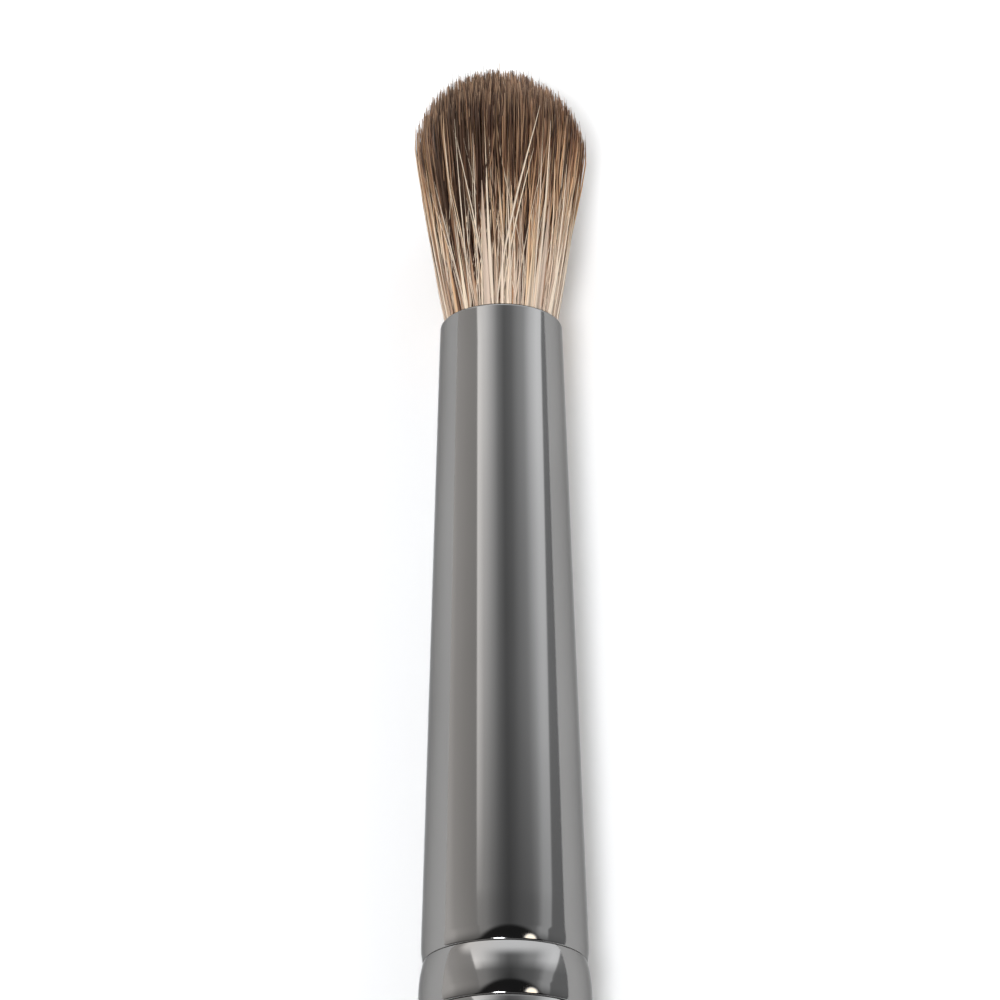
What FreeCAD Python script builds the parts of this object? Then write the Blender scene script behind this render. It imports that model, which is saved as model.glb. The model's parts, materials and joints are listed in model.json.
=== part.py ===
import FreeCAD, Part
import math
import os

# Eyeshadow brush with a domed tuft of natural hair, a tapered metal ferrule rolled into the
# handle with two crimps, and a turned wooden handle. Sizes are in millimetres.
#
# Each piece is turned or laid up about its own Z axis: the mouth of the ferrule is at zero, the
# hair stands above it and the handle hangs below it. At the end the whole brush is laid down on
# the surface z = 0, the way it comes to rest there: on the grip and on the tail of the handle,
# with the hair towards +Y and just clear of the surface.

# Ferrule, a drawn and plated tube
MOUTH_DIAMETER = 6.5
TAPER_END_DIAMETER = 8.43
SKIRT_DIAMETER = 8.7
TAPER_LENGTH = 34.3
SKIRT_LENGTH = 4.3
FERRULE_WALL = 0.3

# Crimps, the creases that are rolled through the ferrule into the tenon. The wall falls to each
# crease from the surface above it and then rises slowly, so the band between them is a low barrel.
CRIMP_COUNT = 2
CRIMP_DEPTH = 0.1
CRIMP_FALL = 0.8
CRIMP_RISE = 1.8
CRIMP_SPACING = 0.2

# Handle, from the end of the ferrule to the tail
GRIP_DIAMETER = 9.2
GRIP_LENGTH = 8.0
GRIP_EDGE_ROUND = 0.5
SHOULDER_BEND_RADIUS = 60.0
SHOULDER_BEND_ANGLE = 3.0
HANDLE_LENGTH = 115.0
TAIL_DIAMETER = 4.4
TAPER_HOLLOW = 0.35

# Tenon, the end of the handle that is glued into the ferrule
TENON_CLEARANCE = 4.0
TENON_CHAMFER = 0.6
HANDLE_GLUE_THICKNESS = 0.15
GLUE_SETBACK = 1.0

# Hair, from the mouth of the ferrule to the top of the dome
BELLY_DIAMETER = 9.3
BELLY_HEIGHT = 10.5
DOME_HEIGHT = 4.25
HAIR_BULGE = 0.08
LOCK_RINGS = 5
LOCKS_PER_RING = 6
LOCK_SIDES = 6
LOCK_FILL = 0.94
LOCK_SHOULDER = 0.6
LOCK_SHOULDER_FILL = 0.72
LOCK_TIP_FILL = 0.12

# The hair bends about the middle of the mouth. It is parted there by a ball-shaped cut, so that
# the locks can swing over the roots.
FLEX_BALL_RADIUS = 3.65
FLEX_GAP = 0.15

# Roots of the hair, tied with thread and set in glue inside the ferrule
ROOT_DEPTH = 13.0
TIE_DIAMETER = 4.7
TIE_LENGTH = 4.8
TIE_FLARE = 0.8
THREAD_DIAMETER = 0.3
THREAD_PITCH = 0.8
THREAD_TURNS = 4
THREAD_SIDES = 6
ROOT_GLUE_FLOOR = 4.0
ROOT_GLUE_RIM = 0.6

# Room between two pieces that are glued or pressed together
SEAT_GAP = 0.02

AXIS_START = FreeCAD.Vector(0, 0, 0)
AXIS = FreeCAD.Vector(0, 0, 1)
TURN = 2 * math.pi

# Heights of the main stations along the brush
CRIMP_PITCH = CRIMP_FALL + CRIMP_RISE + CRIMP_SPACING
FERRULE_LENGTH = TAPER_LENGTH + CRIMP_COUNT * CRIMP_PITCH - CRIMP_SPACING + SKIRT_LENGTH
ROOT_GLUE_END = -ROOT_DEPTH - SEAT_GAP - ROOT_GLUE_FLOOR
TENON_TOP = ROOT_GLUE_END - TENON_CLEARANCE
SHOULDER = -FERRULE_LENGTH - SEAT_GAP
GRIP_END = SHOULDER - GRIP_LENGTH
TAIL_CENTRE = SHOULDER - HANDLE_LENGTH + TAIL_DIAMETER / 2


# Outlines are drawn in the half plane of radius and height.
def at(radius, height):
    return FreeCAD.Vector(radius, 0, height)


def line(start, end):
    return Part.LineSegment(start, end).toShape()


def arc_through(start, middle, end):
    return Part.Arc(start, middle, end).toShape()


def arc_about(centre, start, end):
    """The short arc from start to end about a centre."""
    spoke = (start - centre) + (end - centre)
    return arc_through(start, centre + spoke.normalize() * start.distanceToPoint(centre), end)


def rolled_edge(start, end):
    """An arc that runs along the axis at its wider end and falls to a crease at the other."""
    wide = max(start, end, key=lambda point: point.x)
    drop = abs(end.x - start.x)
    run = abs(end.z - start.z)
    radius = (drop**2 + run**2) / (2 * drop)
    return [arc_about(wide - at(radius, 0), start, end)]


def straight_step(start, end):
    return [line(start, end)]


def start_of(edges):
    return edges[0].Vertexes[0].Point


def end_of(edges):
    return edges[-1].Vertexes[-1].Point


def turned(edges):
    """The solid that a closed outline sweeps round the axis."""
    return Part.Face(Part.Wire(edges)).revolve(AXIS_START, AXIS, 360)


# The ferrule's side is shared by the tube, the glue and the tenon, which lie inside each other. The
# crimps are creases between rounded edges outside, and their hidden inner sides are plain cones.
def taper_radius(height):
    share = -height / TAPER_LENGTH
    return MOUTH_DIAMETER / 2 + share * (TAPER_END_DIAMETER - MOUTH_DIAMETER) / 2


def crimped_side(inset, top, bottom, step=straight_step):
    """The side from a height on the taper down to one on the skirt, moved in by inset."""
    skirt = SKIRT_DIAMETER / 2 - inset
    edges = []
    above = at(taper_radius(top) - inset, top)
    edge_radius = TAPER_END_DIAMETER / 2 - inset
    for crimp in range(CRIMP_COUNT):
        upper = -TAPER_LENGTH - crimp * CRIMP_PITCH
        upper_edge = at(edge_radius, upper)
        crease = at(edge_radius - CRIMP_DEPTH, upper - CRIMP_FALL)
        lower_edge = at(skirt, upper - CRIMP_FALL - CRIMP_RISE)
        edges.append(line(above, upper_edge))
        edges += step(upper_edge, crease) + step(crease, lower_edge)
        above = lower_edge
        edge_radius = skirt
    return edges + [line(above, at(skirt, bottom))]


def ferrule():
    lip = FERRULE_WALL / 2
    outside = crimped_side(0, -lip, -FERRULE_LENGTH, rolled_edge)
    inside = crimped_side(FERRULE_WALL, -lip, -FERRULE_LENGTH)
    lip_top = at(MOUTH_DIAMETER / 2 - lip, 0)
    mouth = arc_through(start_of(inside), lip_top, start_of(outside))
    open_end = line(end_of(outside), end_of(inside))
    return turned([mouth] + outside + [open_end] + inside[::-1])


def handle_glue():
    outer = FERRULE_WALL + SEAT_GAP
    inner = outer + HANDLE_GLUE_THICKNESS
    top = TENON_TOP - GLUE_SETBACK
    bottom = GLUE_SETBACK - FERRULE_LENGTH
    outside = crimped_side(outer, top, bottom)
    inside = crimped_side(inner, top, bottom)
    top_rim = line(start_of(inside), start_of(outside))
    bottom_rim = line(end_of(outside), end_of(inside))
    return turned([top_rim] + outside + [bottom_rim] + inside[::-1])


def handle():
    inset = FERRULE_WALL + HANDLE_GLUE_THICKNESS + 2 * SEAT_GAP
    grip = GRIP_DIAMETER / 2
    tail = TAIL_DIAMETER / 2

    tenon = crimped_side(inset, TENON_TOP - TENON_CHAMFER, SHOULDER)
    tenon_centre = at(0, TENON_TOP)
    chamfer_edge = at(taper_radius(TENON_TOP) - inset - TENON_CHAMFER, TENON_TOP)
    shoulder_edge = at(grip - GRIP_EDGE_ROUND, SHOULDER)
    edges = [line(tenon_centre, chamfer_edge), line(chamfer_edge, start_of(tenon))]
    edges += tenon + [line(end_of(tenon), shoulder_edge)]

    round_centre = shoulder_edge - at(0, GRIP_EDGE_ROUND)
    grip_start = round_centre + at(GRIP_EDGE_ROUND, 0)
    grip_end = at(grip, GRIP_END)
    edges += [arc_about(round_centre, shoulder_edge, grip_start), line(grip_start, grip_end)]

    bend = math.radians(SHOULDER_BEND_ANGLE)
    bend_centre = grip_end - at(SHOULDER_BEND_RADIUS, 0)
    taper_start = bend_centre + at(math.cos(bend), -math.sin(bend)) * SHOULDER_BEND_RADIUS
    taper_end = at(tail, TAIL_CENTRE)
    hollow = (taper_start + taper_end) / 2 - at(TAPER_HOLLOW, 0)
    tail_end = at(0, TAIL_CENTRE - tail)
    edges.append(arc_about(bend_centre, grip_end, taper_start))
    edges.append(arc_through(taper_start, hollow, taper_end))
    edges.append(arc_about(at(0, TAIL_CENTRE), taper_end, tail_end))
    edges.append(line(tail_end, tenon_centre))
    return turned(edges)


# The hair fills the mouth, swells to the belly and ends in a dome.
BORE_RADIUS = MOUTH_DIAMETER / 2 - FERRULE_WALL
ROOT_INSET = FERRULE_WALL + SEAT_GAP


def hair_radius(height):
    share = min(height / BELLY_HEIGHT, 1)
    straight = BORE_RADIUS + share * (BELLY_DIAMETER / 2 - BORE_RADIUS)
    return straight + 4 * HAIR_BULGE * share * (1 - share)


def height_on_ball(ball_radius, share):
    """Where a hair that stands at a share of the tuft's radius leaves a ball about the mouth."""
    low, high = 0, ball_radius
    for _ in range(40):
        middle = (low + high) / 2
        if math.hypot(share * hair_radius(middle), middle) < ball_radius:
            low = middle
        else:
            high = middle
    return high


def hair_roots():
    tie = TIE_DIAMETER / 2
    tie_top = TIE_LENGTH - ROOT_DEPTH
    flare_top = tie_top + TIE_FLARE
    neck = at(taper_radius(0) - ROOT_INSET, 0)
    crown = height_on_ball(FLEX_BALL_RADIUS, 1)
    corners = [
        at(0, -ROOT_DEPTH),
        at(tie, -ROOT_DEPTH),
        at(tie, tie_top),
        at(taper_radius(flare_top) - ROOT_INSET, flare_top),
        neck,
    ]
    edges = [line(start, end) for start, end in zip(corners, corners[1:])]
    flank_end = at(hair_radius(crown), crown)
    flank_middle = at(hair_radius(crown / 2) - SEAT_GAP, crown / 2)
    ball_top = at(0, FLEX_BALL_RADIUS)
    edges.append(arc_through(neck, flank_middle, flank_end))
    edges.append(arc_about(at(0, 0), flank_end, ball_top))
    edges.append(line(ball_top, corners[0]))
    return turned(edges)


def lock_section(share, turn, height, fill):
    """The corners of a level section across one lock."""
    spread = hair_radius(height) / (LOCK_RINGS + 0.5)
    centre = share * hair_radius(height)
    size = fill * spread / 2
    corners = []
    for side in range(LOCK_SIDES):
        angle = TURN * side / LOCK_SIDES
        out = centre + size * math.cos(angle)
        along = size * math.sin(angle)
        x = out * math.cos(turn) - along * math.sin(turn)
        y = out * math.sin(turn) + along * math.cos(turn)
        corners.append(FreeCAD.Vector(x, y, height))
    return corners


def seated_on_ball(lower, upper, seat):
    """Slides the lower corners along the lock's edges until they lie flat on the ball at seat."""
    corners = []
    for low, high in zip(lower, upper):
        edge = high - low
        rise = (seat.dot(seat) - low.dot(seat)) / edge.dot(seat)
        corners.append(low + edge * rise)
    return corners


def flat_face(corners):
    return Part.Face(Part.makePolygon(corners + corners[:1]))


def flat_sided(sections):
    """The solid with flat sides through a stack of like sections."""
    faces = [flat_face(sections[0]), flat_face(sections[-1])]
    for lower, upper in zip(sections, sections[1:]):
        for side in range(LOCK_SIDES):
            other = (side + 1) % LOCK_SIDES
            faces.append(flat_face([lower[side], lower[other], upper[other], upper[side]]))
    return Part.makeSolid(Part.makeShell(faces))


def lock(ring, turn):
    """One lock of hair, from the ball at the mouth up to its own tip on the dome."""
    share = ring / (LOCK_RINGS + 0.5)
    foot = height_on_ball(FLEX_BALL_RADIUS + FLEX_GAP, share)
    out = share * hair_radius(foot)
    tip = BELLY_HEIGHT + DOME_HEIGHT * math.sqrt(1 - share**2)
    shoulder = BELLY_HEIGHT + LOCK_SHOULDER * (tip - BELLY_HEIGHT)
    sections = [
        lock_section(share, turn, foot, LOCK_FILL),
        lock_section(share, turn, (foot + BELLY_HEIGHT) / 2, LOCK_FILL),
        lock_section(share, turn, BELLY_HEIGHT, LOCK_FILL),
        lock_section(share, turn, shoulder, LOCK_SHOULDER_FILL),
        lock_section(share, turn, tip, LOCK_TIP_FILL),
    ]
    seat = FreeCAD.Vector(out * math.cos(turn), out * math.sin(turn), foot)
    sections[0] = seated_on_ball(sections[0], sections[1], seat)
    return flat_sided(sections)


def hair_locks():
    locks = [lock(0, 0)]
    for ring in range(1, LOCK_RINGS + 1):
        count = LOCKS_PER_RING * ring
        locks += [lock(ring, TURN * number / count) for number in range(count)]
    return Part.makeCompound(locks)


# The thread is wound as one unbroken tube, along arcs that keep to a helix. Its ends run straight
# for one thickness, and there it reaches furthest out.
THREAD_RADIUS = TIE_DIAMETER / 2 + THREAD_DIAMETER / 2 + SEAT_GAP
THREAD_REACH = math.hypot(THREAD_RADIUS + THREAD_DIAMETER / 2, THREAD_DIAMETER)
THREAD_START = -ROOT_DEPTH + (TIE_LENGTH - ROOT_GLUE_RIM - THREAD_TURNS * THREAD_PITCH) / 2


def on_helix(turns):
    angle = TURN * turns
    height = THREAD_START + THREAD_PITCH * turns
    return FreeCAD.Vector(THREAD_RADIUS * math.cos(angle), THREAD_RADIUS * math.sin(angle), height)


def helix_direction(turns):
    angle = TURN * turns
    round_speed = TURN * THREAD_RADIUS
    direction = FreeCAD.Vector(-math.sin(angle), math.cos(angle), THREAD_PITCH / round_speed)
    return direction.normalize()


def tangent_arc(start, direction, end):
    """The arc that leaves start in a direction and ends at end."""
    chord = end - start
    across = direction.cross(chord).cross(direction).normalize()
    centre = start + across * (chord.Length**2 / (2 * chord.dot(across)))
    return arc_about(centre, start, end)


def biarc(start_turns, end_turns):
    """Two arcs that meet smoothly and leave and join the helix along it."""
    start = on_helix(start_turns)
    end = on_helix(end_turns)
    leave = helix_direction(start_turns)
    join = helix_direction(end_turns)
    chord = end - start
    both = leave + join
    squared = both.dot(both) - 4
    linear = -2 * chord.dot(both)
    constant = chord.dot(chord)
    root = math.sqrt(linear**2 - 4 * squared * constant)
    reach = (-linear - root) / (2 * squared)
    meet = (start + end + (leave - join) * reach) / 2
    return [tangent_arc(start, leave, meet), tangent_arc(end, -join, meet)]


def least_thread_gap():
    steps = 24
    points = [on_helix(step / steps) for step in range(steps * THREAD_TURNS + 1)]
    apart = []
    for number, near in enumerate(points):
        half_a_turn_on = points[number + steps // 2 :]
        apart += [near.distanceToPoint(far) for far in half_a_turn_on]
    return min(apart) - THREAD_DIAMETER


def thread_section(centre, direction):
    outward = FreeCAD.Vector(THREAD_DIAMETER / 2, 0, 0)
    upward = direction.cross(outward)
    corners = []
    for side in range(THREAD_SIDES):
        angle = TURN * side / THREAD_SIDES
        corners.append(centre + outward * math.cos(angle) + upward * math.sin(angle))
    return Part.makePolygon(corners + corners[:1])


def binding_thread():
    start = on_helix(0)
    end = on_helix(THREAD_TURNS)
    lead_in = helix_direction(0) * THREAD_DIAMETER
    lead_out = helix_direction(THREAD_TURNS) * THREAD_DIAMETER
    edges = [line(start - lead_in, start)]
    for quarter in range(4 * THREAD_TURNS):
        edges += biarc(quarter / 4, (quarter + 1) / 4)
    edges.append(line(end, end + lead_out))
    section = thread_section(start - lead_in, helix_direction(0))
    print("least gap between thread turns", round(least_thread_gap(), 3), "mm")
    return Part.Wire(edges).makePipeShell([section], True, False)


def root_glue():
    """The cup of glue that holds the tied roots and the thread round them."""
    inner = THREAD_REACH + SEAT_GAP
    floor = -ROOT_DEPTH - SEAT_GAP
    bottom = ROOT_GLUE_END
    rim = TIE_LENGTH - ROOT_DEPTH - ROOT_GLUE_RIM
    corners = [
        at(0, bottom),
        at(taper_radius(bottom) - ROOT_INSET, bottom),
        at(taper_radius(rim) - ROOT_INSET, rim),
        at(inner, rim),
        at(inner, floor),
        at(0, floor),
    ]
    return turned([line(start, end) for start, end in zip(corners, corners[1:] + corners[:1])])


# At rest the bend below the grip and the rounded tail both touch the surface.
def rest_tilt():
    """How far the hair points up when the brush lies on its grip and tail, in radians."""
    run = GRIP_END - TAIL_CENTRE
    drop = GRIP_DIAMETER / 2 - SHOULDER_BEND_RADIUS
    reach = math.hypot(run, drop)
    return math.atan2(drop, run) - math.asin((TAIL_DIAMETER / 2 - SHOULDER_BEND_RADIUS) / reach)


def resting_place():
    """Turns the Z axis of the brush to +Y and puts the middle of the brush over the origin."""
    tilt = rest_tilt()
    tip = (BELLY_HEIGHT + DOME_HEIGHT) * math.cos(tilt)
    tail = TAIL_CENTRE * math.cos(tilt) - TAIL_DIAMETER / 2
    mouth_height = TAIL_DIAMETER / 2 - TAIL_CENTRE * math.sin(tilt)
    mouth = FreeCAD.Vector(0, -(tip + tail) / 2, mouth_height)
    return FreeCAD.Placement(mouth, FreeCAD.Rotation(FreeCAD.Vector(1, 0, 0), math.degrees(tilt) - 90))


PIECES = {
    "ferrule": ferrule,
    "handle": handle,
    "handle_glue": handle_glue,
    "hair_roots": hair_roots,
    "hair_locks": hair_locks,
    "root_glue": root_glue,
    "binding_thread": binding_thread,
}


def main():
    os.makedirs("parts", exist_ok=True)
    place = resting_place()
    for name, make in PIECES.items():
        shape = make()
        shape.Placement = place.multiply(shape.Placement)
        shape.exportStep(f"parts/{name}.step")
        print(name, len(shape.Solids), "solids", round(shape.Volume, 2), "mm3", shape.isValid())


if __name__ == "__main__":
    main()
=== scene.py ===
# %% [markdown]
# # Dressing an eyeshadow brush
#
# The CAD model knows how the brush is put together: a turned handle, a drawn ferrule, two glues,
# a tie thread and a head of hair. This lesson gives it its looks. The CAD model is loaded as a
# fixed frame, and each piece that Blender can show better is modelled again in the same place.

# %% Load the CAD frame
import json
import math

import bpy
import numpy as np
from mathutils import Matrix, Vector


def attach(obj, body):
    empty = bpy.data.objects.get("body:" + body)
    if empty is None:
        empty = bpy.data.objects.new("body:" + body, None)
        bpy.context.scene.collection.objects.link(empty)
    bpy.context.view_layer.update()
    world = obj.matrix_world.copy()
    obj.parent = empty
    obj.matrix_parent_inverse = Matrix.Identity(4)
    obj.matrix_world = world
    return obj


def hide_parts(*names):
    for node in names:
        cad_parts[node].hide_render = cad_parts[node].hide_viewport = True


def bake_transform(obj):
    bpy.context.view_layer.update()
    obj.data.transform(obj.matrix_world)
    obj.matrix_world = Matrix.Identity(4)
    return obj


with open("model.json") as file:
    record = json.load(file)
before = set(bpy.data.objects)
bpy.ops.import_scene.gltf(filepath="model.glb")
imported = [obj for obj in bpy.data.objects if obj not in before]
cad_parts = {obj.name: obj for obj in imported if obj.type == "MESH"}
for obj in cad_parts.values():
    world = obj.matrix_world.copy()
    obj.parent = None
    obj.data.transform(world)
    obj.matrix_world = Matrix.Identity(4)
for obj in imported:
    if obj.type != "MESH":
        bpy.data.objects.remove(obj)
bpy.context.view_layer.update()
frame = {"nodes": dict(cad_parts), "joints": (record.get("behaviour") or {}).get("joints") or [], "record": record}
print("CAD nodes:", sorted(frame["nodes"]))

# %% [markdown]
# ## The axes of the brush
#
# The brush lies on the table with its tip a little higher than its tail, so its own axis is not
# quite the world's Y. Everything on it is round about that axis. It is easiest to model upright,
# with the axis along Z and the mouth of the ferrule at the origin, as on a lathe, and to lay each
# finished piece down with one matrix. The hair joint gives the mouth and the upward direction,
# and the grip mount gives the direction of the axis.

# %% From the lathe to the table
MM = 0.001
flex = frame["joints"][0]
grip = frame["record"]["mounts"][0]
mouth = Vector(flex["pos_m"])
upward = Vector(flex["axis"])
towards_tip = -Vector(grip["axis"])
rightward = towards_tip.cross(upward)
lay_down = Matrix((rightward, -upward, towards_tip)).transposed().to_4x4()
lay_down.translation = mouth
print("mouth of the ferrule:", [round(x, 5) for x in mouth])


# %% [markdown]
# ## Reading a turned outline
#
# Ferrule and handle are turned shapes, so an outline says all about them. The CAD nodes hold that
# outline already: every vertex lies on the true surface. Sorting the vertices by their height
# along the axis gives rings, and the largest and smallest radius of each ring are the outside and
# the inside of the piece.

# %% Rings of a CAD node
RING_STEP = 0.01 * MM


def rings_of(node):
    """Rows of (height, inner radius, outer radius) of a turned CAD node, from tail to tip."""
    mesh = frame["nodes"][node].data
    points = np.empty(3 * len(mesh.vertices))
    mesh.vertices.foreach_get("co", points)
    points = points.reshape(-1, 3) - np.array(mouth)
    heights = points @ np.array(towards_tip)
    radii = np.hypot(points @ np.array(rightward), points @ np.array(upward))
    levels = np.round(heights / RING_STEP).astype(int)
    rows = []
    for level in np.unique(levels):
        ring = levels == level
        rows.append((heights[ring].mean(), radii[ring].min(), radii[ring].max()))
    return np.array(rows)


for turned_node in ("ferrule", "handle"):
    rings = rings_of(turned_node)
    print(turned_node, "has", len(rings), "rings, widest", round(2 * rings[:, 2].max() / MM, 2), "mm")

# %% [markdown]
# ## Turning on the lathe
#
# Spin is Blender's lathe. A plane merged to one point is the start of the outline, extruding that
# point from ring to ring draws it, and Spin sweeps it round. The seam and the points on the axis
# are merged afterwards, and the normals are turned outwards. A ready-made cylinder would be quicker,
# but it would have neither the rolled crimps nor the rounded lip.

# %% Spin an outline
WELD = 0.001 * MM
EDGE_ANGLE = math.radians(35)


def turn(name, outline, steps):
    """One piece, spun from an outline of (radius, height) points."""
    bpy.ops.object.select_all(action="DESELECT")
    bpy.ops.mesh.primitive_plane_add(size=MM)
    piece = bpy.context.object
    piece.name = piece.data.name = name
    bpy.ops.object.mode_set(mode="EDIT")
    bpy.ops.mesh.merge(type="CENTER")
    radius, height = outline[0]
    bpy.ops.transform.translate(value=(radius, 0, height))
    for next_radius, next_height in outline[1:]:
        step = (next_radius - radius, 0, next_height - height)
        bpy.ops.mesh.extrude_region_move(TRANSFORM_OT_translate={"value": step})
        radius, height = next_radius, next_height
    bpy.ops.mesh.select_all(action="SELECT")
    bpy.ops.mesh.spin(steps=steps, angle=2 * math.pi, center=(0, 0, 0), axis=(0, 0, 1))
    bpy.ops.mesh.select_all(action="SELECT")
    bpy.ops.mesh.remove_doubles(threshold=WELD)
    bpy.ops.mesh.normals_make_consistent(inside=False)
    bpy.ops.object.mode_set(mode="OBJECT")
    piece.matrix_world = lay_down
    bpy.ops.object.transform_apply(location=True, rotation=True, scale=True)
    bpy.ops.object.shade_smooth_by_angle(angle=EDGE_ANGLE)
    print(name, "has", len(piece.data.polygons), "faces")
    return piece


# %% [markdown]
# ## Nodes with few words
#
# Every finish is built from nodes, and a few helpers keep that short. One adds a node and fills or
# links its sockets, and the others add a colour ramp, a calculation, a smooth step or a mix of two
# colours. Colours are written as a screen shows them, from 0 to 255, and turned into the linear
# values that the shader wants.

# %% Helpers for finishes
def shown(red, green, blue):
    """A screen colour as linear red, green, blue and alpha."""
    parts = [level / 255 for level in (red, green, blue)]
    return tuple(p / 12.92 if p <= 0.04045 else ((p + 0.055) / 1.055) ** 2.4 for p in parts) + (1.0,)


def add_node(tree, kind, sockets=None, **settings):
    """A new node with its settings, and its sockets set to a value or linked to another socket."""
    made = tree.nodes.new(kind)
    for setting, value in settings.items():
        setattr(made, setting, value)
    for socket, value in (sockets or {}).items():
        if isinstance(value, bpy.types.NodeSocket):
            tree.links.new(value, made.inputs[socket])
        else:
            made.inputs[socket].default_value = value
    return made


def add_ramp(tree, factor, stops):
    """The colour output of a ramp with these (position, colour) stops."""
    made = add_node(tree, "ShaderNodeValToRGB", {"Fac": factor})
    elements = made.color_ramp.elements
    elements.remove(elements[1])
    elements[0].position, elements[0].color = stops[0]
    for position, colour in stops[1:]:
        elements.new(position).color = colour
    return made.outputs["Color"]


def calculate(tree, operation, first, second=0.0, third=0.0):
    """The result of a Math node."""
    return add_node(tree, "ShaderNodeMath", {0: first, 1: second, 2: third}, operation=operation).outputs[0]


def gate(tree, value, start, end):
    """0 before start and 1 after end, with a smooth step between them."""
    sockets = {"Value": value, "From Min": start, "From Max": end}
    return add_node(tree, "ShaderNodeMapRange", sockets, interpolation_type="SMOOTHSTEP").outputs["Result"]


def mix_colours(tree, share, first, second):
    """The first colour where share is 0 and the second where it is 1."""
    return add_node(tree, "ShaderNodeMix", {0: share, 6: first, 7: second}, data_type="RGBA").outputs[2]


def new_finish(name):
    """A material, its node tree and its Principled shader."""
    finish = bpy.data.materials.new(name)
    finish.use_nodes = True
    return finish, finish.node_tree, finish.node_tree.nodes["Principled BSDF"]


def grain_of(tree, scale, detail=3.0):
    """Noise on Object coordinates, stretched by a scale along X, Y and Z."""
    place = add_node(tree, "ShaderNodeTexCoord").outputs["Object"]
    stretched = add_node(tree, "ShaderNodeMapping", {"Vector": place, "Scale": scale}).outputs["Vector"]
    noise = add_node(tree, "ShaderNodeTexNoise", {"Vector": stretched, "Scale": 1.0, "Detail": detail})
    return noise.outputs["Fac"]


def dress(piece, finish):
    """Gives a piece one finish."""
    piece.data.materials.clear()
    piece.data.materials.append(finish)


print("a middle grey on screen is", round(shown(128, 128, 128)[0], 3), "in linear light")

# %% [markdown]
# ## Dark mirror metal
#
# The ferrule is drawn aluminium with a polished dark coat, a dark mirror: what the eye sees on it
# is mostly the studio. A metallic shader with a dark warm grey does that. Bare metal grows brighter
# at a grazing angle, but a dark coat holds that back, which the specular tint stands for. Polishing
# leaves fine lines along the tube and a faint haze, so a stretched noise varies the roughness and
# raises a very small bump.

# %% Gunmetal finish
gunmetal, tree, shader = new_finish("gunmetal")
polish_lines = grain_of(tree, (5000, 60, 5000), 4.0)
haze = grain_of(tree, (260, 90, 260), 2.0)
tint = add_ramp(tree, haze, [(0.3, (0.243, 0.240, 0.237, 1)), (0.7, (0.265, 0.262, 0.259, 1))])
gloss = calculate(tree, "MULTIPLY_ADD", haze, 0.05, 0.06)
bump = add_node(tree, "ShaderNodeBump", {"Height": polish_lines, "Strength": 0.03, "Distance": 0.00001})
shader.inputs["Metallic"].default_value = 1.0
shader.inputs["Specular Tint"].default_value = (0.5, 0.5, 0.5, 1)
tree.links.new(tint, shader.inputs["Base Color"])
tree.links.new(gloss, shader.inputs["Roughness"])
tree.links.new(bump.outputs["Normal"], shader.inputs["Normal"])
print("finish:", gunmetal.name)

# %% [markdown]
# ## The ferrule
#
# The ferrule is one tapered tube with a half-round lip at its mouth and two rolled crimps that bite
# into the handle. The CAD mesh has few segments, and a mirror shows each of them, so the tube is
# spun again with many more. Rings with two radii are the stations of its wall. Where the wall runs
# straight between two stations, nothing is added. At a crimp it falls in an arc to a crease and
# rises from it in another, and both arcs are drawn with many points, with a sharp little fold where
# they meet. The outline goes up the outside, over the lip and down the inside.

# %% Outline of the ferrule
ARC_POINTS = 14
STRAIGHT = 0.06
FOLD = 0.07 * MM
rings = rings_of("ferrule")
walled = rings[rings[:, 2] - rings[:, 1] > 2 * RING_STEP]


def wall_between(low, high):
    """Points from one (radius, height) station to the next, straight or along a rolled arc."""
    drop, run = high[0] - low[0], high[1] - low[1]
    if abs(drop) < STRAIGHT * run or run < 0.1 * MM:
        return [low]
    bend = (drop**2 + run**2) / (2 * abs(drop))
    wide = max(low, high)
    points = []
    for height in np.linspace(low[1], high[1], ARC_POINTS, endpoint=False):
        away = height - wide[1]
        points.append((wide[0] - bend + math.sqrt(bend**2 - away**2), height))
    return points


stations = [(outer, height) for height, inner, outer in walled]
neighbours = zip(stations, stations[1:], stations[2:])
creases = [station for low, station, high in neighbours if station[0] < min(low[0], high[0])]
outside = []
for low, high in zip(stations, stations[1:]):
    points = wall_between(low, high)
    if low in creases:
        radius, height = low
        points[:1] = [(radius - FOLD, height), (radius, height + FOLD / 2)]
    if high in creases:
        points.append((high[0], high[1] - FOLD / 2))
    outside += points
outside.append(stations[-1])
inside = [(inner, height) for height, inner, outer in walled[::-1]]
print(len(stations), "stations with", len(creases), "creases give", len(outside), "points outside")

# %% Turn the ferrule
FERRULE_STEPS = 160
ferrule_tube = turn("ferrule_tube", outside + inside + outside[:1], FERRULE_STEPS)
dress(ferrule_tube, gunmetal)
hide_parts("ferrule")
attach(ferrule_tube, "brush")
mouth_bore = walled[-1, 1]
print("lip at", round(rings[-1, 0] / MM, 3), "mm, bore at the lip", round(2 * mouth_bore / MM, 2), "mm")

# %% [markdown]
# ## Black lacquer
#
# The handle is turned wood under several coats of black lacquer. The colour coat is nearly black,
# a clear coat over it gives the sharp highlight, and the wood below telegraphs through as a slow
# waviness along the grain.

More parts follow.
